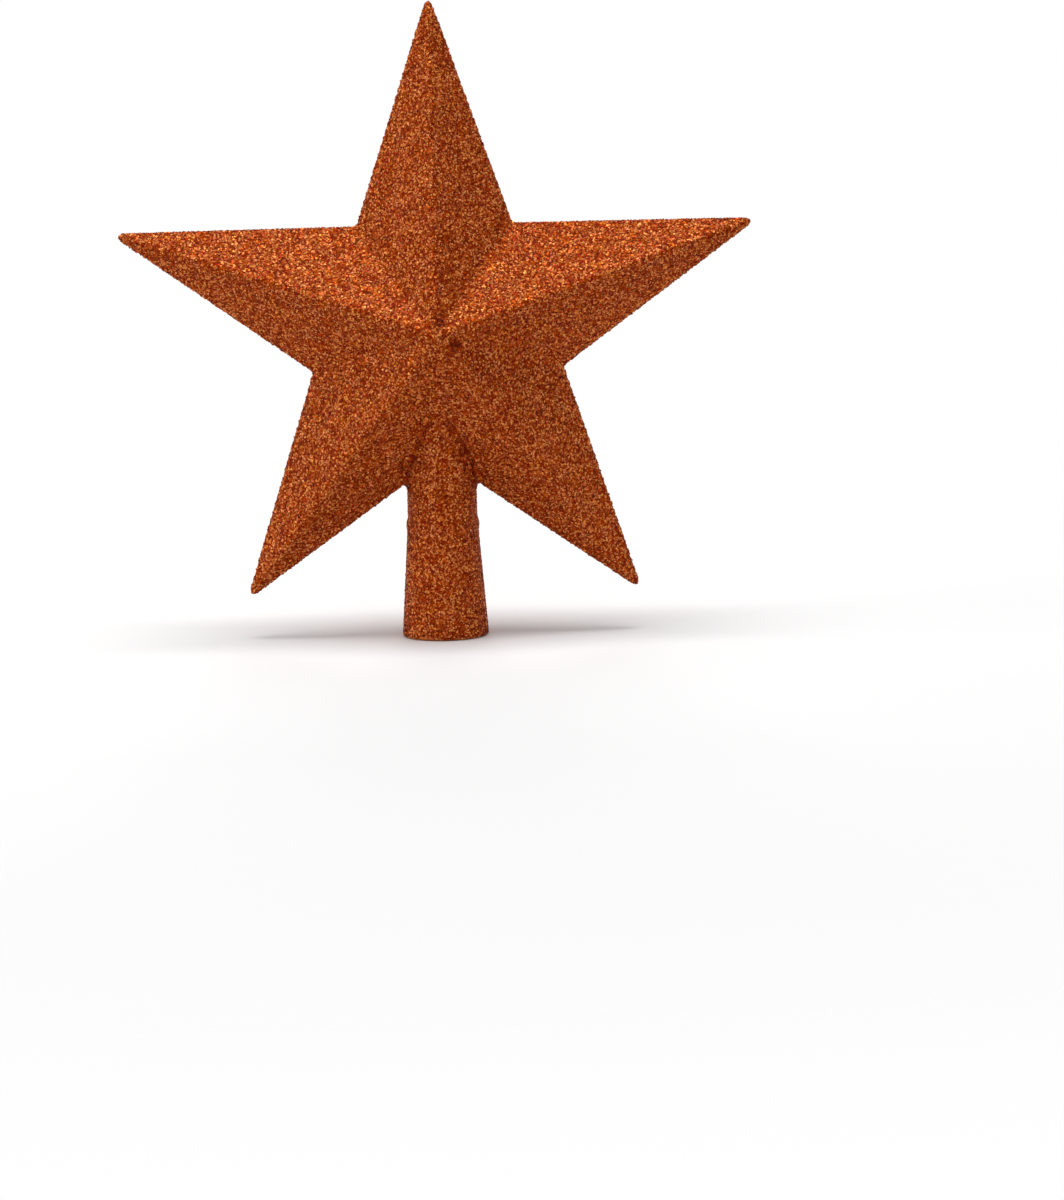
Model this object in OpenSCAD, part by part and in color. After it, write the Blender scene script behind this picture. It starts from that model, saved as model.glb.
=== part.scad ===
// Christmas tree topper: a hollow five-pointed star on a round socket tube.
// Millimetres, +Z up. The origin is the centre of the tube's mouth, and the star's front faces -Y.
// Two moulded shells meet at the seam plane y = 0 and close round the tube. A thin glitter coat
// covers all that shows, so the outside sizes are given over the coat.

/* [Star] */
// Radius from the star's centre to the sharp corner of an arm, over the coat
arm_r = 102.5; // [92:0.5:112]
// Radius from the star's centre to the notch between two arms, over the coat
notch_r = 39.8; // [36:0.2:46]
// Height of the star's outline, as a share of a regular star's
height_share = 0.98; // [0.94:0.01:1.06]
// Distance from the seam to the front or rear peak, over the coat
peak_d = 27; // [24:0.5:32]
// Thickness of the blunt edge round the outline
edge_t = 0.6; // [0.4:0.1:1.2]
// Radius of the rounded arm tips
tip_r = 1.4; // [1:0.1:2.4]

/* [Walls and coat] */
// Wall of the moulded shells
shell_wall = 1.6; // [1.2:0.1:2]
// Wall of the socket tube
tube_wall = 1.5; // [1.2:0.1:2]
// Thickness of the glitter coat
coat_t = 0.3; // [0.2:0.05:0.5]

/* [Neck and socket tube] */
// Radius of the straight neck, over the coat
neck_r = 10.4; // [9.6:0.1:11]
// Length of the neck, from the ring up to the star's lowest notch
neck_len = 17.8; // [14:0.2:24]
// Radius of the tube at its mouth, over the coat
mouth_r = 12.9; // [12:0.1:15]
// Radius of the taper where it meets the ring, over the coat
taper_top_r = 10.7; // [10.5:0.1:11.5]
// Length of the taper, from the mouth up to the ring
taper_len = 32; // [26:0.5:40]
// Height of the raised ring between the taper and the neck
ring_h = 4.2; // [3:0.1:6]
// How far the ring stands out
ring_proud = 0.35; // [0.2:0.05:0.8]
// Radius of the rounded lip at the mouth
lip_r = 1.2; // [0.8:0.1:1.5]
// Radial clearance between the tube and what holds it
tube_clear = 0.1; // [0.05:0.05:0.2]

/* [Saddles that hold the tube] */
// How far the flange at the tube's upper end stands out
flange_w = 1.1; // [0.8:0.1:1.5]
// Thickness of that flange
flange_t = 1.4; // [1:0.1:2]
// Thickness of the saddle plate under the flange
saddle_t = 1.6; // [1.2:0.1:2.4]
// How far the saddle plate reaches past the flange
saddle_w = 3.5; // [2.5:0.1:5]
// Room left between the flange and the shell's wall
flange_gap = 0.3; // [0.2:0.05:0.6]

/* [Locating pegs] */
// Distance of the pegs from the star's centre
peg_place_r = 60; // [52:1:66]
// Radius of a peg
peg_r = 1.2; // [1:0.1:1.6]
// Length of a peg past the seam
peg_len = 4.5; // [3:0.1:5]
// Radial clearance round a peg
peg_clear = 0.1; // [0.05:0.05:0.2]
// Depth of a peg's hole past the peg's end
peg_end_gap = 0.5; // [0.3:0.1:1]
// Radius of the boss that carries a peg or its hole
boss_r = 2.6; // [2.3:0.1:3.5]

/* [Hidden] */
$fn = 96;

// Colours
shell_colour = "#a5622f";
tube_colour = "#b06c34";
coat_colour = "#97461f";

// Arms of the star, and how many corners its outline has
arms = 5;
corners = 2 * arms;
corner_step = 360 / corners;
// Straight pieces that draw a rounded tip, a rounded lip or the ring's crown
arc_steps = 8;
// How far a cut runs past the surface that it opens
overrun = 1;

// Heights of the pieces above the mouth
ring_top = taper_len + ring_h;
centre_z = ring_top + neck_len + notch_r * height_share;

// Distance from the star's centre to any edge of its flat outline, and to any facet
edge_dist = arm_r * notch_r * sin(corner_step)
    / sqrt(arm_r ^ 2 + notch_r ^ 2 - 2 * arm_r * notch_r * cos(corner_step));
// The facets meet beyond the outline by this ratio, which leaves the blunt edge
edge_ratio = peak_d / (peak_d - edge_t / 2);
facet_dist = 1 / sqrt(1 / peak_d ^ 2 + 1 / (edge_dist * edge_ratio) ^ 2);

// Sizes inside
inner_t = coat_t + shell_wall;
inner_tube_t = coat_t + tube_wall;
cavity_ratio = (facet_dist - inner_t) / facet_dist;
neck_bore_r = neck_r - inner_t;
spigot_r = neck_bore_r - tube_clear;
bore_r = spigot_r - tube_wall;
flange_r = spigot_r + flange_w;
// The flange lies where the hollow of the lowest valley is just deep enough for it
flange_drop = notch_r * height_share * edge_ratio * cavity_ratio
    * (1 - (flange_r + flange_gap) / (peak_d * cavity_ratio));
flange_z = centre_z - flange_drop;
tube_top = flange_z + flange_t;

// Corner number i of the star's outline, in its own plane, drawn ratio times as large
function corner_radius(i) = i % 2 == 0 ? arm_r : notch_r;
function corner(i, ratio) =
    let (a = 90 + corner_step * i, r = corner_radius(i) * ratio)
    [r * cos(a), r * sin(a) * height_share];

// Points of an arc of radius r that rounds the corner c between the points p and n
function rounded(p, c, n, r) =
    let (u = (p - c) / norm(p - c), v = (n - c) / norm(n - c))
    let (half = acos(u * v) / 2, middle = (u + v) / norm(u + v))
    let (centre = c + middle * r / sin(half), out = atan2(-middle[1], -middle[0]))
    [for (k = [0 : arc_steps])
        let (a = out + (90 - half) * (2 * k / arc_steps - 1))
        centre + r * [cos(a), sin(a)]];

// Flat outline of the star at depth t under its outer surface, with rounded arm tips
module outline(t) {
    ratio = (edge_dist - t) / edge_dist;
    polygon([for (i = [0 : corners - 1])
        each i % 2 == 0
            ? rounded(corner(i - 1, ratio), corner(i, ratio), corner(i + 1, ratio), tip_r - t)
            : [corner(i, ratio)]]);
}

// The facets at depth t under the outer surface, as a pyramid on each side of the seam
module facets(t) {
    ratio = (facet_dist - t) / facet_dist;
    rim = [for (i = [0 : corners - 1])
        let (c = corner(i, ratio * edge_ratio)) [c[0], 0, c[1]]];
    peaks = [[0, -peak_d * ratio, 0], [0, peak_d * ratio, 0]];
    polyhedron(
        points = concat(rim, peaks),
        faces = [for (i = [0 : corners - 1]) let (j = (i + 1) % corners)
            each [[j, i, corners], [i, j, corners + 1]]]);
}

// The star with its neck at depth t under the outer surface. The neck starts drop lower.
module star_and_neck(t, drop = 0) {
    translate([0, 0, centre_z])
        intersection() {
            facets(t);
            rotate([90, 0, 0]) linear_extrude(height = 2 * peak_d, center = true) outline(t);
        }
    translate([0, 0, ring_top - drop])
        cylinder(r = neck_r - t, h = centre_z - ring_top + drop);
}

// Keeps what lies in front of the seam, side = -1, or behind it, side = 1
module half(side) {
    reach = 2 * arm_r;
    intersection() {
        children();
        translate([-reach, side < 0 ? -reach : 0, 0]) cube([2 * reach, reach, 2 * reach]);
    }
}

// Runs its children at the place of each peg, along the seam's normal
module at_pegs() {
    for (i = [0 : 2 : corners - 1])
        let (a = 90 + corner_step * i)
        translate([peg_place_r * cos(a), 0, centre_z + peg_place_r * sin(a) * height_share])
            rotate([90, 0, 0]) children();
}

// What stands inside the hollow: the bosses and the plate round the tube
module inner_supports() {
    at_pegs() cylinder(r = boss_r, h = 2 * peak_d, center = true);
    translate([0, 0, flange_z - tube_clear - saddle_t])
        cylinder(r = flange_r + saddle_w, h = saddle_t);
}

// Both shells in one, still without pegs or their holes
module shells() {
    difference() {
        star_and_neck(coat_t);
        difference() {
            translate([0, 0, centre_z]) facets(inner_t);
            inner_supports();
        }
        translate([0, 0, ring_top - overrun])
            cylinder(r = neck_bore_r, h = centre_z - ring_top + overrun);
    }
}

module front_shell() {
    color(shell_colour)
        difference() {
            half(-1) shells();
            at_pegs()
                translate([0, 0, -overrun])
                    cylinder(r = peg_r + peg_clear, h = peg_len + peg_end_gap + overrun);
        }
}

module rear_shell() {
    color(shell_colour) {
        half(1) shells();
        at_pegs() translate([0, 0, -overrun]) cylinder(r = peg_r, h = peg_len + overrun);
    }
}

// Outside of the taper and ring at depth t under the outer surface, as [radius, height] points
function tube_side(t) = concat(
    [for (k = [0 : arc_steps])
        let (a = -90 + 90 * k / arc_steps, r = lip_r - t)
        [mouth_r - lip_r + r * cos(a), lip_r + r * sin(a)]],
    [for (k = [0 : arc_steps])
        let (s = k / arc_steps)
        [taper_top_r + (neck_r - taper_top_r) * s + ring_proud * sin(180 * s) - t,
            taper_len + ring_h * s]]);

module socket_tube() {
    color(tube_colour)
        rotate_extrude()
            polygon(concat(
                [[mouth_r - inner_tube_t, 0], [mouth_r - lip_r, 0]],
                tube_side(coat_t),
                [[spigot_r, ring_top], [spigot_r, flange_z], [flange_r, flange_z],
                    [flange_r, tube_top], [bore_r, tube_top], [bore_r, ring_top],
                    [taper_top_r - inner_tube_t, taper_len]]));
}

module glitter_coat(side) {
    color(coat_colour)
        half(side)
            difference() {
                star_and_neck(0);
                star_and_neck(coat_t, overrun);
            }
}

module front_glitter_coat() {
    glitter_coat(-1);
}

module rear_glitter_coat() {
    glitter_coat(1);
}

module tube_glitter_coat() {
    inside = tube_side(coat_t);
    color(coat_colour)
        rotate_extrude()
            polygon(concat(
                tube_side(0),
                [for (k = [len(inside) - 1 : -1 : 0]) inside[k]]));
}

front_shell();
rear_shell();
socket_tube();
front_glitter_coat();
rear_glitter_coat();
tube_glitter_coat();
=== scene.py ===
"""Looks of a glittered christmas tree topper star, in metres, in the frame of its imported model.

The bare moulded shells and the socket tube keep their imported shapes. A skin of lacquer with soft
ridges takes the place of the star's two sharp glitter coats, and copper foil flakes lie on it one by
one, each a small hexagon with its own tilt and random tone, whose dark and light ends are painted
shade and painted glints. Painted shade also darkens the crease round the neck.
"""
import math

import bmesh
import bpy
from mathutils import Euler, Matrix, Vector, noise


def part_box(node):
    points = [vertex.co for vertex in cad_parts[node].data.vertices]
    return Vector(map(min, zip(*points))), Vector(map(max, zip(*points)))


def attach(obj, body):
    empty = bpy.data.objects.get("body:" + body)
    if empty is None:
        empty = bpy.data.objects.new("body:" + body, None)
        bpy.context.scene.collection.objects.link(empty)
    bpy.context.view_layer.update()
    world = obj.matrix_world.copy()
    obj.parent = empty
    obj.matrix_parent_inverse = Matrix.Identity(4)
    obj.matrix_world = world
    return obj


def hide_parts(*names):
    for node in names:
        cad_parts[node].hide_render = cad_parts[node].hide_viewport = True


bl_info = {
    "name": "Glitter Star Topper",
    "version": (1, 0, 0),
    "blender": (4, 5, 0),
    "location": "View3D > Sidebar > Star Topper",
    "description": "Dresses a moulded star topper in lacquer and copper foil glitter",
    "category": "Object",
}

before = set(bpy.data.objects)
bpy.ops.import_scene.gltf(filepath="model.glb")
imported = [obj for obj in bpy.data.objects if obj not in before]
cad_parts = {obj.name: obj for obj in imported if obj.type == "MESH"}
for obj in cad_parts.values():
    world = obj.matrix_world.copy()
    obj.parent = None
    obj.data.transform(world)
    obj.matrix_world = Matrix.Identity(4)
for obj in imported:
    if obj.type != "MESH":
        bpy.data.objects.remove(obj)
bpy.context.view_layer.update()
BODY = "root"
# The star's two halves, and which way along Y each one faces
SIDES = {"front": -1, "rear": 1}
ARMS = ("top", "right", "lower_right", "lower_left", "left")
ARM_STEP = math.tau / len(ARMS)
# Faces of the skin are numbered by the arm that they lie on, or by the neck's number
NECK = len(ARMS)
REGIONS = (*ARMS, "neck")

MM = 0.001
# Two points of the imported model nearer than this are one
SAME_PLACE = 0.002 * MM

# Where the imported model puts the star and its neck
NECK_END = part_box("tube_glitter_coat")[1].z
COAT_POINTS = [v.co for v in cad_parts["front_glitter_coat"].data.vertices]
NECK_RADIUS = max(math.hypot(p.x, p.y) for p in COAT_POINTS if abs(p.z - NECK_END) < SAME_PLACE)
PEAK = min(COAT_POINTS, key=lambda p: p.y).copy()
# A point this near the neck's surface belongs to the neck
NECK_GROWS = 0.4 * MM

# Two darker spots on the front beside its peak: how far right, how far up, and the radius of each
DARK_SPOTS = ((1.2 * MM, 4.0 * MM, 2.2 * MM), (5.4 * MM, -3.2 * MM, 2.6 * MM))
# Share of a spot's radius over which its edge fades
DARK_SPOT_EDGE = 0.5

# Names of the data that one step leaves on a mesh for the next
REGION = "region"
HOLLOW = "hollow"
TONE = "flake_tone"
# Share of painted shade in the crease round the neck, and of the two dark spots beside the peak
SHADE_AND_SPOTS = "pooled"
FLAKE = "flake"
PLACE_ON_SQUARE = "place_on_square"

FLAKE_SIDES = 6
# The darkest tone of a flake outside the painted crease shade and the dark spots, on the scale from 0
# to 1
LEAST_TONE = 0.12
# Under the painted crease shade and the dark spots, a flake loses from this share to all of what they
# can take of its tone
LEAST_DARKENING = 0.5
# The name of the map that gives each flake a square of its own
FLAKE_MAP = "OFBake"
# Share of its square on the map that a flake spans
MAP_SHARE = 0.8

# Nearly all values of a noise texture lie between these two
NOISE_LOW = 0.3
NOISE_HIGH = 0.7

FLOOR_SIDES = 96
# Degrees that each lamp is turned to the star's right, as seen from the front, and raised
LAMPS = {"key": (0, 85), "side": (-80, 12), "back": (180, 20)}


def linear(hex_colour):
    """Turns an sRGB hex colour such as "#a5622f" into linear red, green, blue and alpha."""
    parts = [int(hex_colour[i : i + 2], 16) / 255 for i in (1, 3, 5)]
    return (*[c / 12.92 if c <= 0.04045 else ((c + 0.055) / 1.055) ** 2.4 for c in parts], 1.0)


def colour_prop(name, description, hex_colour):
    return bpy.props.FloatVectorProperty(
        name=name, description=description, subtype="COLOR", size=4, min=0, max=1,
        default=linear(hex_colour),
    )


def length_prop(name, description, metres):
    return bpy.props.FloatProperty(
        name=name, description=description, default=metres, min=0, unit="LENGTH", precision=5
    )


def share_prop(name, description, share):
    return bpy.props.FloatProperty(
        name=name, description=description, default=share, min=0, max=1, subtype="FACTOR"
    )


class TopperSkin(bpy.types.PropertyGroup):
    """Sizes of the lacquer skin that softens the star's ridges."""

    grain: length_prop("Grain", "Length of one face of the skin", 0.8 * MM)
    passes: bpy.props.IntProperty(
        name="Softening", description="How many times the skin is smoothed", default=1, min=0
    )
    pull: share_prop("Pull", "How far each smoothing draws a point to its neighbours' middle", 0.5)
    thickness: length_prop("Thickness", "Thickness of the skin", 0.25 * MM)
    hollow_passes: bpy.props.IntProperty(
        name="Hollow Spread", description="How many faces wide a valley or ridge is marked",
        default=14, min=1,
    )
    hollow_depth: length_prop("Hollow Depth", "Depth at which a valley counts in full", 0.5 * MM)
    fillet: share_prop("Fillet", "How much of a valley's depth the mould's fillet takes", 0.3)


class TopperFlakes(bpy.types.PropertyGroup):
    """Sizes and places of the foil flakes."""

    width: length_prop("Width", "Width of a flake from corner to corner", 0.69 * MM)
    depth: length_prop("Depth", "How deep the lacquer drop under a flake reaches", 0.15 * MM)
    spacing: length_prop("Spacing", "Least distance between the middles of two flakes", 0.42 * MM)
    crowd: bpy.props.FloatProperty(
        name="Crowd", description="Flakes strewn on each square millimetre", default=10.5, min=0
    )
    lift: length_prop("Lift", "How far the highest flakes lie over the lacquer", 0.1 * MM)
    tilt: bpy.props.FloatProperty(
        name="Tilt", description="Greatest tilt of a flake", subtype="ANGLE",
        default=math.radians(24),
    )
    spread: share_prop("Size Spread", "How much flakes differ in size", 0.16)
    seed: bpy.props.IntProperty(name="Seed", description="Seed of the first group", default=7)
    bare_rim: length_prop("Bare Rim", "Height at the mouth that no flake reaches", 0.5 * MM)
    # Painted shade in the crease round the neck: how far out it reaches, how it grows from the middle,
    # its chance patches, and the hollow marks where it starts and where it is full. The strength below
    # also darkens the two dark spots beside the peak.
    shade_reach: length_prop("Pool Reach", "How far out from the neck lacquer pools", 0.9 * MM)
    shade_growth: length_prop("Run-off", "How far from the middle the crease starts to fill", 4 * MM)
    shade_patch: length_prop("Pool Patch", "Length over which pooled lacquer thins", 2.2 * MM)
    shade_change: share_prop("Pool Change", "How much pooled lacquer thins by chance", 0.65)
    shade_start: share_prop("Pool Start", "Mark of a hollow from which lacquer pools in it", 0.08)
    shade_full: share_prop("Pool Full", "Mark of a hollow from which it is full of lacquer", 0.4)
    darkening_strength: share_prop("Pooling", "How much pooled lacquer darkens the flakes", 0.85)


class TopperColours(bpy.types.PropertyGroup):
    """Colours of the finishes, as they look in even light."""

    # Foil colour of the painted shade in the crease round the neck and of the two dark spots beside
    # the peak
    foil_crease_shade_and_spots: colour_prop("Foil under Lacquer", "Foil that pooled lacquer covers", "#4a0d01")
    # A flake's random tone runs from painted shade, through the foil's own colour, to painted glints
    foil_painted_shade: colour_prop("Foil in Shade", "Foil that mirrors nothing bright", "#741501")
    foil_mid: colour_prop("Foil", "Most of the foil", "#ae4302")
    foil_painted_glint: colour_prop("Foil in Light", "Foil that mirrors the light", "#e68e4d")
    lacquer: colour_prop("Lacquer", "Tinted lacquer between the flakes", "#792706")
    shell: colour_prop("Shell", "Bare plastic of the shells", "#a5622f")
    tube: colour_prop("Tube", "Bare plastic of the socket tube", "#b06c34")
    floor: colour_prop("Floor", "Pale floor", "#f0f0f0")


class TopperStage(bpy.types.PropertyGroup):
    """The camera, the lamps and the floor."""

    camera_place: bpy.props.FloatVectorProperty(
        name="Camera", description="Place of the camera", subtype="XYZ", unit="LENGTH",
        default=(0.0194, -1.2004, 0.1917),
    )
    pitch: bpy.props.FloatProperty(
        name="Pitch", description="How far the camera looks down", subtype="ANGLE",
        default=math.radians(8.609),
    )
    yaw: bpy.props.FloatProperty(
        name="Yaw", description="How far the camera looks to the right", subtype="ANGLE",
        default=math.radians(0.333),
    )
    roll: bpy.props.FloatProperty(
        name="Roll", description="Turn of the camera about its view", subtype="ANGLE",
        default=math.radians(-1.459),
    )
    lens: bpy.props.FloatProperty(
        name="Lens", description="Focal length on a sensor of 36 mm", default=120, min=1,
        unit="CAMERA",
    )
    key: bpy.props.FloatProperty(
        name="Key", description="Power of the lamp above", subtype="POWER", default=14.8, min=0
    )
    side: bpy.props.FloatProperty(
        name="Side", description="Power of the low lamp on the left", subtype="POWER",
        default=4.7, min=0,
    )
    back: bpy.props.FloatProperty(
        name="Back", description="Power of the lamp behind", subtype="POWER", default=6.0, min=0
    )
    lamp_size: length_prop("Lamp Size", "Width of each square lamp", 0.7)
    lamp_distance: length_prop("Lamp Distance", "Distance of each lamp from the star", 1.4)
    ambient: bpy.props.FloatProperty(
        name="Ambient", description="Even light from all round", default=0.4, min=0
    )
    floor_clear: length_prop("Floor Kept", "Distance at which the floor starts to fade", 0.22)
    floor_reach: length_prop("Floor Reach", "Distance at which the floor has faded", 0.6)


def add_node(tree, kind, values=None, **settings):
    """Adds a node with its settings. values maps an input's name or number to a value or a link."""
    made = tree.nodes.new(kind)
    for name, value in settings.items():
        setattr(made, name, value)
    for key, value in (values or {}).items():
        if isinstance(value, bpy.types.NodeSocket):
            tree.links.new(value, made.inputs[key])
        else:
            made.inputs[key].default_value = value
    return made


def new_material(name):
    """Makes a material, and returns it with its tree, its surface input and object coordinates."""
    material = bpy.data.materials.new(name)
    material.use_nodes = True
    tree = material.node_tree
    tree.nodes.clear()
    output = add_node(tree, "ShaderNodeOutputMaterial")
    place = add_node(tree, "ShaderNodeTexCoord").outputs["Object"]
    return material, tree, output.inputs["Surface"], place


def tone_ramp(tree, factor, colours):
    """Turns a tone from 0 to 1 into a colour of the foil: painted crease shade and the dark spots at
    0, painted shade at LEAST_TONE, the foil's own colour in the middle, and painted glints at 1.
    """
    ramp = add_node(tree, "ShaderNodeValToRGB", {"Fac": factor})
    stops = ramp.color_ramp.elements
    stops[0].color = colours.foil_crease_shade_and_spots
    stops[1].color = colours.foil_painted_glint
    stops.new(LEAST_TONE).color = colours.foil_painted_shade
    stops.new((LEAST_TONE + 1) / 2).color = colours.foil_mid
    return ramp.outputs["Color"]


def foil_flake_material(colours):
    """Copper foil glitter: lacquered film cut into hexagons.

    The film is metal under a tinted lacquer, so each flake shows one tone with a soft shine, and
    its tilt decides how bright it is. The tone is random, and its dark and light ends are painted
    shade and painted glints.
    """
    # Handling scuffs the foil in soft patches, which are a little rougher than fresh foil
    scuff_size = 8 * MM
    fresh, scuffed = 0.38, 0.52
    # The film's dye has taken more or less in patches, and differs a little from flake to flake.
    # A saturation of 1 and a hue of 0.5 leave a colour as it is.
    dye_patch = 3 * MM
    pale, rich = 0.97, 1.025
    redder, yellower = 0.49, 0.51
    # Only half of the light is mirrored by the metal. The lacquer scatters the rest, and it is
    # too rough for a gloss of its own.
    metal_share, lacquer_gloss = 0.5, 0.04

    material, tree, surface, place = new_material("copper_foil_flake")
    tone = add_node(
        tree, "ShaderNodeAttribute", attribute_type="GEOMETRY", attribute_name=TONE
    ).outputs["Fac"]
    scuffs = add_node(
        tree, "ShaderNodeTexNoise", {"Vector": place, "Scale": 1 / scuff_size, "Detail": 2.0}
    )
    roughness = add_node(
        tree, "ShaderNodeMapRange",
        {"Value": scuffs.outputs["Fac"], "From Min": NOISE_LOW, "From Max": NOISE_HIGH,
         "To Min": fresh, "To Max": scuffed},
    )
    patches = add_node(
        tree, "ShaderNodeTexNoise", {"Vector": place, "Scale": 1 / dye_patch, "Detail": 2.0}
    )
    saturation = add_node(
        tree, "ShaderNodeMapRange",
        {"Value": patches.outputs["Fac"], "From Min": NOISE_LOW, "From Max": NOISE_HIGH,
         "To Min": pale, "To Max": rich},
    )
    chance = add_node(tree, "ShaderNodeTexWhiteNoise", {"W": tone}, noise_dimensions="1D")
    hue = add_node(
        tree, "ShaderNodeMapRange",
        {"Value": chance.outputs["Value"], "To Min": redder, "To Max": yellower},
    )
    dyed = add_node(
        tree, "ShaderNodeHueSaturation",
        {"Hue": hue.outputs["Result"], "Saturation": saturation.outputs["Result"],
         "Color": tone_ramp(tree, tone, colours)},
    )
    shader = add_node(
        tree, "ShaderNodeBsdfPrincipled",
        {"Base Color": dyed.outputs["Color"], "Metallic": metal_share,
         "Roughness": roughness.outputs["Result"], "Specular IOR Level": lacquer_gloss},
    )
    tree.links.new(shader.outputs["BSDF"], surface)
    return material


def glitter_lacquer_material(colours, bare_rim):
    """Tinted lacquer full of foil grit, the bed in which the flakes lie.

    Grit shows between the flakes as cells of one random tone each, from painted shade to painted
    glints. Painted shade in the crease round the neck, and two dark spots beside the peak, darken the
    lacquer.
    Near the mouth it ends in an uneven line, under which the tube's plastic is bare.
    """
    grit_size, grit_height = 0.5 * MM, 0.1 * MM
    # Share of the grit that the lacquer hides
    hidden_share = 0.45
    # Length of a wave in the line where the lacquer ends
    edge_wave = 1.5 * MM
    bump_strength = 0.5
    # Foil stands out of it, so the lacquer is dull
    dullness, gloss = 0.55, 0.04

    material, tree, surface, place = new_material("glitter_lacquer")
    grit = add_node(
        tree, "ShaderNodeTexVoronoi", {"Vector": place, "Scale": 1 / grit_size}, feature="F1"
    )
    # Each cell of grit has three numbers of its own, in its colour
    cell = add_node(tree, "ShaderNodeSeparateColor", {"Color": grit.outputs["Color"]}).outputs
    shown = add_node(
        tree, "ShaderNodeMath", {0: cell["Green"], 1: hidden_share}, operation="GREATER_THAN"
    )
    # A shown cell of grit takes a random tone of the foil, painted shade and painted glints included
    # A Mix node keeps its two colours as inputs 6 and 7, and their mixture as output 2
    gritty = add_node(
        tree, "ShaderNodeMix",
        {"Factor": shown.outputs["Value"], 6: colours.lacquer,
         7: tone_ramp(tree, cell["Red"], colours)},
        data_type="RGBA",
    )
    # Painted shade in the crease round the neck, and the two dark spots beside the peak, turn the
    # lacquer towards the darkest foil colour
    pooled = add_node(
        tree, "ShaderNodeAttribute", attribute_type="GEOMETRY", attribute_name=SHADE_AND_SPOTS
    )
    darkened = add_node(
        tree, "ShaderNodeMix",
        {"Factor": pooled.outputs["Fac"], 6: gritty.outputs[2], 7: colours.foil_crease_shade_and_spots},
        data_type="RGBA",
    )
    height = add_node(tree, "ShaderNodeSeparateXYZ", {"Vector": place}).outputs["Z"]
    ragged = add_node(
        tree, "ShaderNodeTexNoise", {"Vector": place, "Scale": 1 / edge_wave, "Detail": 1.0}
    )
    edge = add_node(
        tree, "ShaderNodeMath", {0: ragged.outputs["Fac"], 1: bare_rim, 2: bare_rim},
        operation="MULTIPLY_ADD",
    )
    bare = add_node(
        tree, "ShaderNodeMath", {0: height, 1: edge.outputs["Value"]}, operation="LESS_THAN"
    )
    coloured = add_node(
        tree, "ShaderNodeMix",
        {"Factor": bare.outputs["Value"], 6: darkened.outputs[2], 7: colours.tube},
        data_type="RGBA",
    )
    bump = add_node(
        tree, "ShaderNodeBump",
        {"Strength": bump_strength, "Distance": grit_height, "Height": cell["Blue"]},
    )
    shader = add_node(
        tree, "ShaderNodeBsdfPrincipled",
        {"Base Color": coloured.outputs[2], "Roughness": dullness, "Specular IOR Level": gloss,
         "Normal": bump.outputs["Normal"]},
    )
    tree.links.new(shader.outputs["BSDF"], surface)
    return material


def moulded_plastic_material(name, colour):
    """Bare injection-moulded polystyrene, dyed through.

    It has a satin shine with faint flow clouds and the fine orange peel of the mould's wall.
    """
    # The plastic's flow leaves clouds, which vary from dark and satin to light and dull
    cloud_size = 6 * MM
    darker, lighter = 0.88, 1.1
    satin, dull = 0.38, 0.48
    peel_size, peel_height = 0.8 * MM, 0.02 * MM
    bump_strength = 0.2

    material, tree, surface, place = new_material(name)
    clouds = add_node(
        tree, "ShaderNodeTexNoise", {"Vector": place, "Scale": 1 / cloud_size, "Detail": 3.0}
    ).outputs["Fac"]
    value = add_node(
        tree, "ShaderNodeMapRange", {"Value": clouds, "To Min": darker, "To Max": lighter}
    )
    dyed = add_node(
        tree, "ShaderNodeHueSaturation", {"Value": value.outputs["Result"], "Color": colour}
    )
    roughness = add_node(
        tree, "ShaderNodeMapRange", {"Value": clouds, "To Min": satin, "To Max": dull}
    )
    peel = add_node(
        tree, "ShaderNodeTexNoise", {"Vector": place, "Scale": 1 / peel_size, "Detail": 2.0}
    )
    bump = add_node(
        tree, "ShaderNodeBump",
        {"Strength": bump_strength, "Distance": peel_height, "Height": peel.outputs["Fac"]},
    )
    shader = add_node(
        tree, "ShaderNodeBsdfPrincipled",
        {"Base Color": dyed.outputs["Color"], "Roughness": roughness.outputs["Result"],
         "Normal": bump.outputs["Normal"]},
    )
    tree.links.new(shader.outputs["BSDF"], surface)
    return material


def finish(node, material):
    """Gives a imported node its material."""
    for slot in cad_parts[node].material_slots:
        slot.material = material


def new_piece(name, mesh, material):
    """Links a finished mesh as a piece that rides on the body."""
    mesh.name = name
    piece = bpy.data.objects.new(name, mesh)
    bpy.context.scene.collection.objects.link(piece)
    if material.name not in mesh.materials:
        mesh.materials.append(material)
    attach(piece, BODY)
    return piece


def carrier_of(mesh, name):
    """Links a mesh as a plain object that can carry modifiers."""
    carrier = bpy.data.objects.new(name, mesh)
    bpy.context.scene.collection.objects.link(carrier)
    return carrier


def settled(carrier, name):
    """Returns the mesh of an object as its modifiers leave it, and removes the object."""
    evaluated = carrier.evaluated_get(bpy.context.evaluated_depsgraph_get())
    mesh = bpy.data.meshes.new_from_object(evaluated)
    mesh.name = name
    bpy.data.objects.remove(carrier)
    return mesh


def merged(*nodes):
    """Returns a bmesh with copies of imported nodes, their loose triangles joined at their corners."""
    shape = bmesh.new()
    for node in nodes:
        shape.from_mesh(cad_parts[node].data)
    bmesh.ops.remove_doubles(shape, verts=shape.verts, dist=SAME_PLACE)
    return shape


def mesh_of(shape, name):
    """Turns a bmesh into a mesh, and frees it."""
    mesh = bpy.data.meshes.new(name)
    shape.to_mesh(mesh)
    shape.free()
    return mesh


def islands(shape):
    """Yields each set of faces that hang together."""
    left = set(shape.faces)
    while left:
        found, waiting = set(), [left.pop()]
        while waiting:
            face = waiting.pop()
            found.add(face)
            near = {other for edge in face.edges for other in edge.link_faces} & left
            left -= near
            waiting.extend(near)
        yield found


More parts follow.
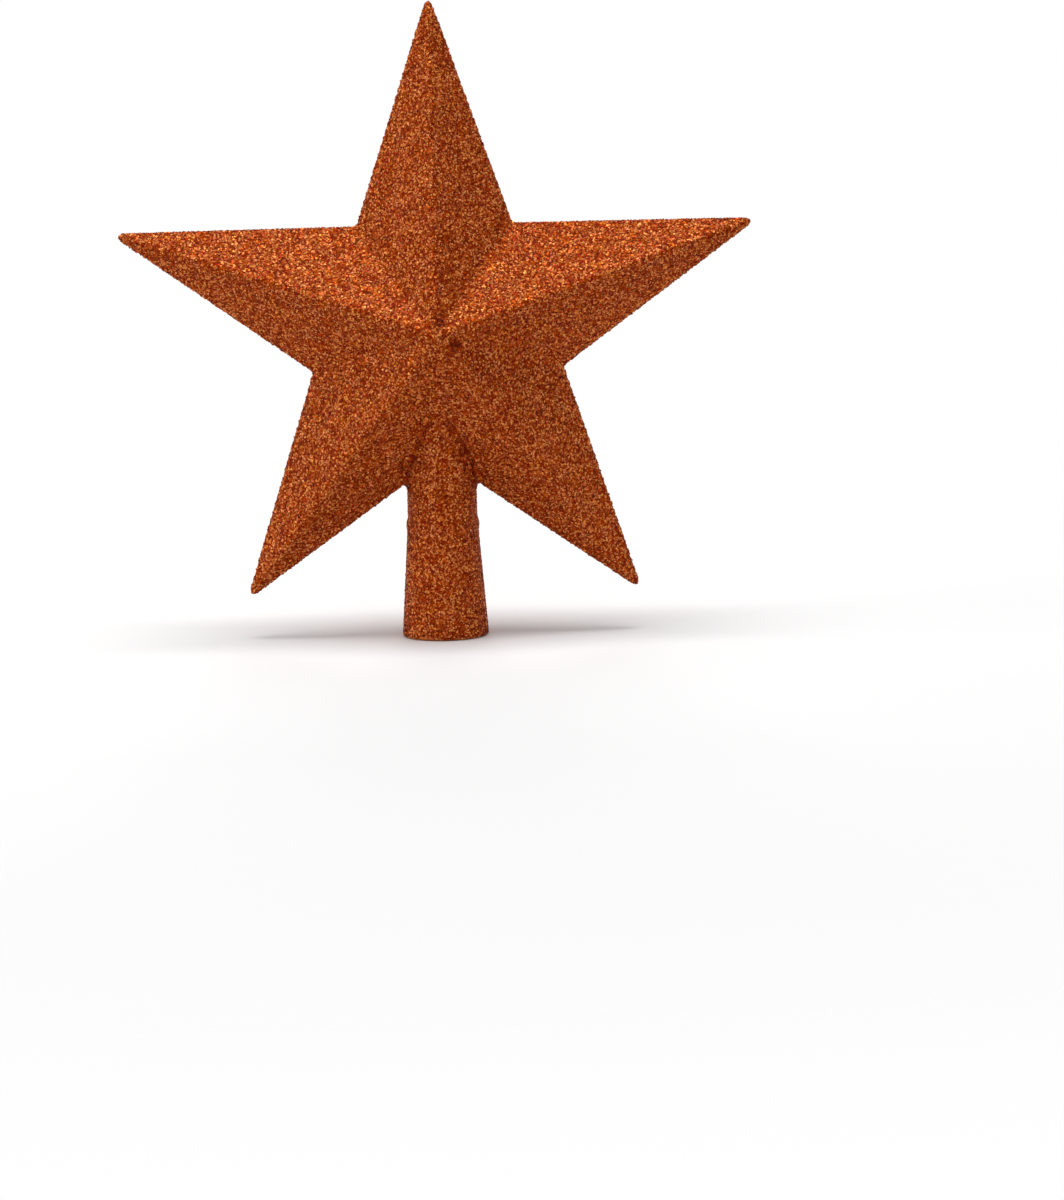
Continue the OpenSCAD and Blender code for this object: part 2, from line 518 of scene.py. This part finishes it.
def sharp_star():
    """Returns the outer surface of the star and its neck, closed under a longer neck."""
    shape = merged("front_glitter_coat", "rear_glitter_coat")
    # The two coats have end faces in the seam and at the neck's end
    ends = [
        face for face in shape.faces
        if all(abs(v.co.y) < SAME_PLACE for v in face.verts)
        or all(abs(v.co.z - NECK_END) < SAME_PLACE for v in face.verts)
    ]
    bmesh.ops.delete(shape, geom=ends, context="FACES")
    outer = max(islands(shape), key=lambda faces: sum(face.calc_area() for face in faces))
    inner = [face for face in shape.faces if face not in outer]
    bmesh.ops.delete(shape, geom=inner, context="FACES")
    rim = [edge for edge in shape.edges if edge.is_boundary]
    longer = bmesh.ops.extrude_edge_only(shape, edges=rim)["geom"]
    foot = [item for item in longer if isinstance(item, bmesh.types.BMVert)]
    bmesh.ops.translate(shape, verts=foot, vec=(0, 0, -NECK_RADIUS))
    bmesh.ops.contextual_create(shape, geom=[e for e in longer if isinstance(e, bmesh.types.BMEdge)])
    bmesh.ops.recalc_face_normals(shape, faces=shape.faces)
    return mesh_of(shape, "sharp_star")


def new_geometry_tree(name, inputs):
    """Makes a geometry node tree with named inputs, and returns it with what they are given."""
    tree = bpy.data.node_groups.new(name, "GeometryNodeTree")
    tree.interface.new_socket("Geometry", in_out="OUTPUT", socket_type="NodeSocketGeometry")
    for title, kind in inputs.items():
        tree.interface.new_socket(title, in_out="INPUT", socket_type=f"NodeSocket{kind}")
    return tree, add_node(tree, "NodeGroupInput").outputs


def hollow_tree():
    """Builds the node tree that marks valleys with 1 and ridges with -1, and fills the valleys.

    A point's mark is how far the middle of its surroundings lies over it, as a share of a depth.
    """
    tree, given = new_geometry_tree("mark_hollows", {
        "Surface": "Geometry", "Passes": "Int", "Depth": "Float", "Fillet": "Float",
    })
    here = add_node(tree, "GeometryNodeInputPosition").outputs["Position"]
    normal = add_node(tree, "GeometryNodeInputNormal").outputs["Normal"]
    around = add_node(
        tree, "GeometryNodeBlurAttribute", {"Value": here, "Iterations": given["Passes"]},
        data_type="FLOAT_VECTOR",
    )
    step = add_node(
        tree, "ShaderNodeVectorMath", {0: around.outputs["Value"], 1: here}, operation="SUBTRACT"
    ).outputs["Vector"]
    rise = add_node(tree, "ShaderNodeVectorMath", {0: step, 1: normal}, operation="DOT_PRODUCT")
    relative = add_node(
        tree, "ShaderNodeMath", {0: rise.outputs["Value"], 1: given["Depth"]}, operation="DIVIDE"
    )
    mark = add_node(
        tree, "ShaderNodeClamp", {"Value": relative.outputs["Value"], "Min": -1.0, "Max": 1.0}
    ).outputs["Result"]
    marked = add_node(
        tree, "GeometryNodeStoreNamedAttribute",
        {"Geometry": given["Surface"], "Name": HOLLOW, "Value": mark},
        data_type="FLOAT", domain="POINT",
    )
    valley = add_node(tree, "ShaderNodeMath", {0: mark, 1: 0.0}, operation="MAXIMUM")
    fill = add_node(
        tree, "ShaderNodeMath", {0: valley.outputs["Value"], 1: given["Fillet"]},
        operation="MULTIPLY",
    )
    raised = add_node(
        tree, "ShaderNodeVectorMath", {0: step, "Scale": fill.outputs["Value"]}, operation="SCALE"
    )
    filled = add_node(
        tree, "GeometryNodeSetPosition",
        {"Geometry": marked.outputs["Geometry"], "Offset": raised.outputs["Vector"]},
    )
    add_node(tree, "NodeGroupOutput", {"Geometry": filled.outputs["Geometry"]})
    return tree


def grow(carrier, name, tree, wanted):
    """Gives a carrier a node tree as its last modifier, with the values of its named inputs."""
    modifier = carrier.modifiers.new(name, "NODES")
    modifier.node_group = tree
    for item in tree.interface.items_tree:
        if item.in_out == "INPUT" and item.name in wanted:
            modifier[item.identifier] = wanted[item.name]


def soft_star(sizes):
    """Returns the star's surface with softened ridges, valleys and crease round the neck."""
    carrier = carrier_of(sharp_star(), "soft_star")
    remesh = carrier.modifiers.new("grain", "REMESH")
    remesh.mode = "VOXEL"
    remesh.voxel_size = sizes.grain
    smooth = carrier.modifiers.new("soften", "SMOOTH")
    smooth.factor = sizes.pull
    smooth.iterations = sizes.passes
    marks = {
        "Passes": sizes.hollow_passes, "Depth": sizes.hollow_depth, "Fillet": sizes.fillet,
    }
    grow(carrier, "hollows", hollow_tree(), marks)
    return settled(carrier, "soft_star")


def region_of(centre):
    """Number of the arm that a point lies on, or NECK."""
    if centre.xy.length < NECK_RADIUS + NECK_GROWS and centre.z < PEAK.z - NECK_RADIUS:
        return NECK
    angle = math.atan2(centre.x - PEAK.x, centre.z - PEAK.z)
    return round(angle / ARM_STEP) % len(ARMS)


def darkening_at(point, hollow, side, flakes):
    """Share of the flakes' tone that painted darkening takes at a point of the skin.

    It is painted shade in the crease round the neck, which the star's open valleys don't get, and on
    the front two dark spots beside the peak.
    """
    near_neck = max(0.0, 1 - abs(point.xy.length - NECK_RADIUS) / flakes.shade_reach)
    # The painted shade grows from nothing at the crease's top in the middle out along both sides
    out_from_middle = min(1.0, abs(point.x) / flakes.shade_growth)
    depth = hollow * near_neck * out_from_middle
    filled = (depth - flakes.shade_start) / (flakes.shade_full - flakes.shade_start)
    # Perlin noise is about -0.5 to 0.5, so this share is about 0 to 1
    patchiness = 0.5 + noise.noise(point / flakes.shade_patch)
    # Chance patches make the painted shade uneven
    share = min(max(filled, 0.0), 1.0) * (1 - flakes.shade_change * patchiness)
    # Two dark spots beside the front's peak
    if side == "front":
        for right, up, radius in DARK_SPOTS:
            away = math.hypot(point.x - PEAK.x - right, point.z - PEAK.z - up)
            share = max(share, min(1.0, (radius - away) / (radius * DARK_SPOT_EDGE)))
    return share * flakes.darkening_strength


def cut(shape, place, normal, **settings):
    """Cuts a shape through along the plane at a place that faces along a normal."""
    everything = shape.verts[:] + shape.edges[:] + shape.faces[:]
    bmesh.ops.bisect_plane(shape, geom=everything, plane_co=place, plane_no=normal, **settings)


def half_skin(whole, side, flakes):
    """Returns the half of the star's skin on one side of the seam.

    Its faces are marked by region and its points by the share of painted crease shade and dark spots
    there.
    """
    shape = bmesh.new()
    shape.from_mesh(whole)
    cut(shape, (0, 0, NECK_END), (0, 0, 1))
    below = [
        face for face in shape.faces
        if face.calc_center_median().z < NECK_END
        and face.calc_center_median().xy.length < NECK_RADIUS + NECK_GROWS
    ]
    bmesh.ops.delete(shape, geom=below, context="FACES")
    cut(shape, (0, 0, 0), (0, SIDES[side], 0), clear_inner=True)
    region = shape.faces.layers.int.new(REGION)
    for face in shape.faces:
        face[region] = region_of(face.calc_center_median())
        face.smooth = True
    hollow = shape.verts.layers.float[HOLLOW]
    pooled = shape.verts.layers.float.new(SHADE_AND_SPOTS)
    for vert in shape.verts:
        vert[pooled] = darkening_at(vert.co, vert[hollow], side, flakes)
    return mesh_of(shape, f"{side}_skin")


def tube_surface(bare_rim):
    """Returns the outer surface of the tube's coat from the bare rim up."""
    shape = merged("tube_glitter_coat")
    hidden = []
    for face in shape.faces:
        middle = face.calc_center_median()
        if face.normal.xy.dot(middle.xy) <= 0 or middle.z < bare_rim:
            hidden.append(face)
    bmesh.ops.delete(shape, geom=hidden, context="FACES")
    shape.faces.layers.int.new(REGION)
    return mesh_of(shape, "tube_surface")


def by_chance(tree, given, low, high, draw):
    """Returns a random number for each flake, from low to high, by its own draw from the seed."""
    drawn = add_node(tree, "ShaderNodeMath", {0: given["Seed"], 1: draw}, operation="ADD")
    number = add_node(
        tree, "FunctionNodeRandomValue", {2: low, 3: high, "Seed": drawn.outputs["Value"]},
        data_type="FLOAT",
    )
    return number.outputs[1]


def one_flake(tree, given):
    """Returns a flake, each of whose points knows its place on the flake's square of the map."""
    # The flat hexagon is the cone's base, turned up, and its point reaches down
    cone = add_node(
        tree, "GeometryNodeMeshCone",
        {"Vertices": FLAKE_SIDES, "Radius Top": 0.0, "Radius Bottom": given["Radius"],
         "Depth": given["Depth"]},
        fill_type="NGON",
    )
    turned = add_node(
        tree, "GeometryNodeTransform",
        {"Geometry": cone.outputs["Mesh"], "Rotation": Euler((math.pi, 0, 0))},
    )
    here = add_node(tree, "GeometryNodeInputPosition").outputs["Position"]
    middle = Vector((0.5, 0.5, 0.0))
    shrink = add_node(
        tree, "ShaderNodeMath", {0: MAP_SHARE / 2, 1: given["Radius"]}, operation="DIVIDE"
    )
    place = add_node(
        tree, "ShaderNodeVectorMath", {0: here, 1: shrink.outputs["Value"], 2: middle},
        operation="MULTIPLY_ADD",
    )
    flake = add_node(
        tree, "GeometryNodeStoreNamedAttribute",
        {"Geometry": turned.outputs["Geometry"], "Name": PLACE_ON_SQUARE,
         "Value": place.outputs["Vector"]},
        data_type="FLOAT_VECTOR", domain="POINT",
    )
    return flake.outputs["Geometry"]


def strewn_flakes(tree, given):
    """Returns flakes as instances, strewn over one region, each with its lift, tilt and size."""
    region = add_node(tree, "GeometryNodeInputNamedAttribute", {"Name": REGION}, data_type="INT")
    # A Compare node keeps its two whole numbers as inputs 2 and 3
    chosen = add_node(
        tree, "FunctionNodeCompare", {2: region.outputs["Attribute"], 3: given["Region"]},
        data_type="INT", operation="EQUAL",
    )
    strewn = add_node(
        tree, "GeometryNodeDistributePointsOnFaces",
        {"Mesh": given["Surface"], "Selection": chosen.outputs["Result"],
         "Distance Min": given["Spacing"], "Density Max": given["Crowd"], "Seed": given["Seed"]},
        distribute_method="POISSON",
    )
    lift = by_chance(tree, given, 0.0, given["Lift"], 1)
    raised = add_node(
        tree, "ShaderNodeVectorMath", {0: strewn.outputs["Normal"], "Scale": lift},
        operation="SCALE",
    )
    placed = add_node(
        tree, "GeometryNodeSetPosition",
        {"Geometry": strewn.outputs["Points"], "Offset": raised.outputs["Vector"]},
    )
    tilt = given["Tilt"]
    back = add_node(tree, "ShaderNodeMath", {0: tilt, 1: -1.0}, operation="MULTIPLY")
    lean = add_node(
        tree, "ShaderNodeCombineXYZ",
        {"X": by_chance(tree, given, back.outputs["Value"], tilt, 2),
         "Y": by_chance(tree, given, back.outputs["Value"], tilt, 3),
         "Z": by_chance(tree, given, 0.0, math.tau, 4)},
    )
    turn = add_node(tree, "FunctionNodeEulerToRotation", {"Euler": lean.outputs["Vector"]})
    lying = add_node(
        tree, "FunctionNodeRotateRotation",
        {"Rotation": strewn.outputs["Rotation"], "Rotate By": turn.outputs["Rotation"]},
        rotation_space="LOCAL",
    )
    least = add_node(tree, "ShaderNodeMath", {0: 1.0, 1: given["Spread"]}, operation="SUBTRACT")
    most = add_node(tree, "ShaderNodeMath", {0: 1.0, 1: given["Spread"]}, operation="ADD")
    size = by_chance(tree, given, least.outputs["Value"], most.outputs["Value"], 5)
    flakes = add_node(
        tree, "GeometryNodeInstanceOnPoints",
        {"Points": placed.outputs["Geometry"], "Instance": one_flake(tree, given),
         "Rotation": lying.outputs["Rotation"], "Scale": size},
    )
    return flakes.outputs["Instances"]


def toned(tree, given, flakes):
    """Returns flakes with a tone and a number each."""
    # Outside the painted darkening a flake's tone is random, with painted shade at its dark end and
    # painted glints at its light end
    free = by_chance(tree, given, LEAST_TONE, 1.0, 6)
    # Painted shade in the crease round the neck, and the two dark spots beside the peak, leave the
    # flakes dark, some more than others
    pooled = add_node(
        tree, "GeometryNodeInputNamedAttribute", {"Name": SHADE_AND_SPOTS}, data_type="FLOAT"
    )
    darkness_share = add_node(
        tree, "ShaderNodeMath",
        {0: pooled.outputs["Attribute"], 1: by_chance(tree, given, LEAST_DARKENING, 1.0, 7)},
        operation="MULTIPLY",
    )
    left = add_node(
        tree, "ShaderNodeMath", {0: 1.0, 1: darkness_share.outputs["Value"]}, operation="SUBTRACT"
    )
    tone = add_node(
        tree, "ShaderNodeMath", {0: free, 1: left.outputs["Value"]}, operation="MULTIPLY"
    )
    number = add_node(tree, "GeometryNodeInputIndex")
    for name, kind, value in (
        (TONE, "FLOAT", tone.outputs["Value"]), (FLAKE, "INT", number.outputs["Index"]),
    ):
        flakes = add_node(
            tree, "GeometryNodeStoreNamedAttribute",
            {"Geometry": flakes, "Name": name, "Value": value}, data_type=kind, domain="INSTANCE",
        ).outputs["Geometry"]
    return flakes


def mapped(tree, flakes):
    """Returns flakes as a real mesh, with a square of the map for each.

    The squares lie in rows, as many as there are columns.
    """
    count = add_node(
        tree, "GeometryNodeAttributeDomainSize", {"Geometry": flakes}, component="INSTANCES"
    )
    root = add_node(
        tree, "ShaderNodeMath", {0: count.outputs["Instance Count"]}, operation="SQRT"
    )
    columns = add_node(
        tree, "ShaderNodeMath", {0: root.outputs["Value"]}, operation="CEIL"
    ).outputs["Value"]
    number = add_node(
        tree, "GeometryNodeInputNamedAttribute", {"Name": FLAKE}, data_type="INT"
    ).outputs["Attribute"]
    column = add_node(tree, "ShaderNodeMath", {0: number, 1: columns}, operation="MODULO")
    rows = add_node(tree, "ShaderNodeMath", {0: number, 1: columns}, operation="DIVIDE")
    row = add_node(tree, "ShaderNodeMath", {0: rows.outputs["Value"]}, operation="FLOOR")
    square = add_node(
        tree, "ShaderNodeCombineXYZ", {"X": column.outputs["Value"], "Y": row.outputs["Value"]}
    )
    inside = add_node(
        tree, "GeometryNodeInputNamedAttribute", {"Name": PLACE_ON_SQUARE},
        data_type="FLOAT_VECTOR",
    )
    across = add_node(
        tree, "ShaderNodeVectorMath",
        {0: square.outputs["Vector"], 1: inside.outputs["Attribute"]}, operation="ADD",
    )
    spot = add_node(
        tree, "ShaderNodeVectorMath", {0: across.outputs["Vector"], 1: columns},
        operation="DIVIDE",
    )
    real = add_node(tree, "GeometryNodeRealizeInstances", {"Geometry": flakes})
    return add_node(
        tree, "GeometryNodeStoreNamedAttribute",
        {"Geometry": real.outputs["Geometry"], "Name": FLAKE_MAP, "Value": spot.outputs["Vector"]},
        data_type="FLOAT2", domain="CORNER",
    ).outputs["Geometry"]


def flake_tree():
    """Builds the node tree that strews foil flakes over one region of a surface."""
    tree, given = new_geometry_tree("strew_flakes", {
        "Surface": "Geometry", "Region": "Int", "Spacing": "Float", "Crowd": "Float",
        "Radius": "Float", "Depth": "Float", "Lift": "Float", "Tilt": "Float",
        "Spread": "Float", "Seed": "Int", "Material": "Material",
    })
    flakes = mapped(tree, toned(tree, given, strewn_flakes(tree, given)))
    for name in (REGION, HOLLOW, SHADE_AND_SPOTS, FLAKE, PLACE_ON_SQUARE):
        flakes = add_node(
            tree, "GeometryNodeRemoveAttribute", {"Geometry": flakes, "Name": name}
        ).outputs["Geometry"]
    flat = add_node(tree, "GeometryNodeSetShadeSmooth", {"Geometry": flakes, "Shade Smooth": False})
    painted = add_node(
        tree, "GeometryNodeSetMaterial",
        {"Geometry": flat.outputs["Geometry"], "Material": given["Material"]},
    )
    add_node(tree, "NodeGroupOutput", {"Geometry": painted.outputs["Geometry"]})
    return tree


def strew(surface, region, name, sizes, seed, material, tree):
    """Strews flakes over one region of a surface and returns them as a piece."""
    carrier = carrier_of(surface.copy(), name)
    wanted = {
        "Region": region, "Spacing": sizes.spacing, "Crowd": sizes.crowd / MM**2,
        "Radius": sizes.width / 2, "Depth": sizes.depth, "Lift": sizes.lift, "Tilt": sizes.tilt,
        "Spread": sizes.spread, "Seed": seed, "Material": material,
    }
    grow(carrier, "flakes", tree, wanted)
    return new_piece(name, settled(carrier, name), material)


class TOPPER_OT_plastic(bpy.types.Operator):
    """Gives the bare shells and the socket tube their moulded plastic"""

    bl_idname = "topper.plastic"
    bl_label = "Moulded Plastic"

    def execute(self, context):
        colours = context.scene.topper_colours
        shell = moulded_plastic_material("shell_polystyrene", colours.shell)
        tube = moulded_plastic_material("tube_polystyrene", colours.tube)
        finish("front_shell", shell)
        finish("rear_shell", shell)
        finish("socket_tube", tube)
        return {"FINISHED"}


class TOPPER_OT_coat(bpy.types.Operator):
    """Makes the lacquer skins of the star and strews flakes over its arms and neck"""

    bl_idname = "topper.coat"
    bl_label = "Star's Glitter Coat"

    def execute(self, context):
        scene = context.scene
        sizes, flakes, colours = scene.topper_skin, scene.topper_flakes, scene.topper_colours
        lacquer = glitter_lacquer_material(colours, flakes.bare_rim)
        foil = foil_flake_material(colours)
        tree = flake_tree()
        whole = soft_star(sizes)
        seed = flakes.seed
        for side in SIDES:
            surface = half_skin(whole, side, flakes)
            for number, region in enumerate(REGIONS):
                strew(surface, number, f"{side}_flakes_{region}", flakes, seed, foil, tree)
                seed += 1
            carrier = carrier_of(surface, f"{side}_skin")
            wall = carrier.modifiers.new("wall", "SOLIDIFY")
            wall.thickness = sizes.thickness
            wall.offset = -1
            skin = new_piece(
                f"{side}_lacquer", settled(carrier, f"{side}_lacquer"), lacquer
            )
            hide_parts(f"{side}_glitter_coat")
        bpy.data.meshes.remove(whole)
        return {"FINISHED"}


class TOPPER_OT_tube_coat(bpy.types.Operator):
    """Gives the tube's coat the star's lacquer and strews flakes over it"""

    bl_idname = "topper.tube_coat"
    bl_label = "Tube's Glitter Coat"

    def execute(self, context):
        flakes = context.scene.topper_flakes
        finish("tube_glitter_coat", bpy.data.materials["glitter_lacquer"])
        surface = tube_surface(flakes.bare_rim)
        # The star's groups of flakes took the seeds before this one
        seed = flakes.seed + len(SIDES) * len(REGIONS)
        strew(
            surface, 0, "tube_flakes", flakes, seed, bpy.data.materials["copper_foil_flake"],
            bpy.data.node_groups["strew_flakes"],
        )
        return {"FINISHED"}


def studio_floor(colour, kept, reach):
    """Makes a pale floor that fades into the white background round the star."""
    shape = bmesh.new()
    bmesh.ops.create_circle(shape, cap_ends=True, segments=FLOOR_SIDES, radius=reach)
    floor = bpy.data.objects.new("floor", mesh_of(shape, "floor"))
    bpy.context.scene.collection.objects.link(floor)
    material, tree, surface, place = new_material("pale_floor")
    away = add_node(tree, "ShaderNodeVectorMath", {0: place}, operation="LENGTH")
    fade = add_node(
        tree, "ShaderNodeMapRange",
        {"Value": away.outputs["Value"], "From Min": kept, "From Max": reach},
        interpolation_type="SMOOTHSTEP",
    )
    matt = add_node(tree, "ShaderNodeBsdfDiffuse", {"Color": colour})
    clear = add_node(tree, "ShaderNodeBsdfTransparent")
    mixed = add_node(
        tree, "ShaderNodeMixShader",
        {0: fade.outputs["Result"], 1: matt.outputs["BSDF"], 2: clear.outputs["BSDF"]},
    )
    tree.links.new(mixed.outputs["Shader"], surface)
    floor.data.materials.append(material)


def studio_world(ambient):
    """White where it is seen or mirrored, and an even dim light for all else."""
    world = bpy.data.worlds.new("studio")
    bpy.context.scene.world = world
    world.use_nodes = True
    tree = world.node_tree
    tree.nodes.clear()
    seen = add_node(tree, "ShaderNodeLightPath").outputs
    shows = seen["Is Camera Ray"]
    for ray in ("Is Glossy Ray", "Is Transmission Ray"):
        shows = add_node(
            tree, "ShaderNodeMath", {0: shows, 1: seen[ray]}, operation="MAXIMUM"
        ).outputs["Value"]
    strength = add_node(
        tree, "ShaderNodeMapRange", {"Value": shows, "To Min": ambient, "To Max": 1.0}
    )
    light = add_node(
        tree, "ShaderNodeBackground",
        {"Color": (1, 1, 1, 1), "Strength": strength.outputs["Result"]},
    )
    add_node(tree, "ShaderNodeOutputWorld", {"Surface": light.outputs["Background"]})


def studio_lamp(name, turn, rise, power, stage):
    """Adds a square soft lamp that faces the star, turned to its right and raised by angles."""
    data = bpy.data.lights.new(name, "AREA")
    data.size = stage.lamp_size
    data.energy = power
    made = bpy.data.objects.new(name, data)
    bpy.context.scene.collection.objects.link(made)
    away = Euler((-rise, 0, turn)).to_matrix() @ Vector((0, -stage.lamp_distance, 0))
    made.location = Vector((0, 0, PEAK.z)) + away
    made.rotation_euler = (-away).to_track_quat("-Z", "Y").to_euler()


def studio_camera(stage):
    """Adds the scene's camera."""
    data = bpy.data.cameras.new("camera")
    data.lens = stage.lens
    camera = bpy.data.objects.new("camera", data)
    bpy.context.scene.collection.objects.link(camera)
    looking = Euler((math.pi / 2 - stage.pitch, 0, -stage.yaw)).to_matrix()
    turned = looking @ Matrix.Rotation(stage.roll, 3, "Z")
    camera.matrix_world = Matrix.Translation(stage.camera_place) @ turned.to_4x4()
    bpy.context.scene.camera = camera


class TOPPER_OT_stage(bpy.types.Operator):
    """Sets the floor, the lamps, the background and the camera"""

    bl_idname = "topper.stage"
    bl_label = "Stage"

    def execute(self, context):
        scene = context.scene
        stage = scene.topper_stage
        studio_floor(scene.topper_colours.floor, stage.floor_clear, stage.floor_reach)
        studio_world(stage.ambient)
        for name, (turn, rise) in LAMPS.items():
            studio_lamp(name, math.radians(turn), math.radians(rise), getattr(stage, name), stage)
        studio_camera(stage)
        scene.view_settings.view_transform = "Standard"
        return {"FINISHED"}


class TOPPER_PT_panel(bpy.types.Panel):
    """Lists the steps that dress the star, and their settings"""

    bl_idname = "TOPPER_PT_panel"
    bl_label = "Star Topper"
    bl_space_type = "VIEW_3D"
    bl_region_type = "UI"
    bl_category = "Star Topper"

    def draw(self, context):
        for step in STEPS:
            self.layout.operator(step.bl_idname)
        for group in SETTINGS:
            settings = getattr(context.scene, group)
            box = self.layout.box()
            for name in settings.__annotations__:
                box.prop(settings, name)


STEPS = (TOPPER_OT_plastic, TOPPER_OT_coat, TOPPER_OT_tube_coat, TOPPER_OT_stage)
SETTINGS = {
    "topper_skin": TopperSkin,
    "topper_flakes": TopperFlakes,
    "topper_colours": TopperColours,
    "topper_stage": TopperStage,
}


def register():
    for made in (*SETTINGS.values(), *STEPS, TOPPER_PT_panel):
        bpy.utils.register_class(made)
    for name, group in SETTINGS.items():
        setattr(bpy.types.Scene, name, bpy.props.PointerProperty(type=group))


def unregister():
    for name in SETTINGS:
        delattr(bpy.types.Scene, name)
    for made in (TOPPER_PT_panel, *reversed(STEPS), *reversed(SETTINGS.values())):
        bpy.utils.unregister_class(made)


def main():
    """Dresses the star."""
    register()
    bpy.ops.topper.plastic()
    bpy.ops.topper.coat()
    bpy.ops.topper.tube_coat()
    bpy.ops.topper.stage()


if __name__ == "__main__":
    main()
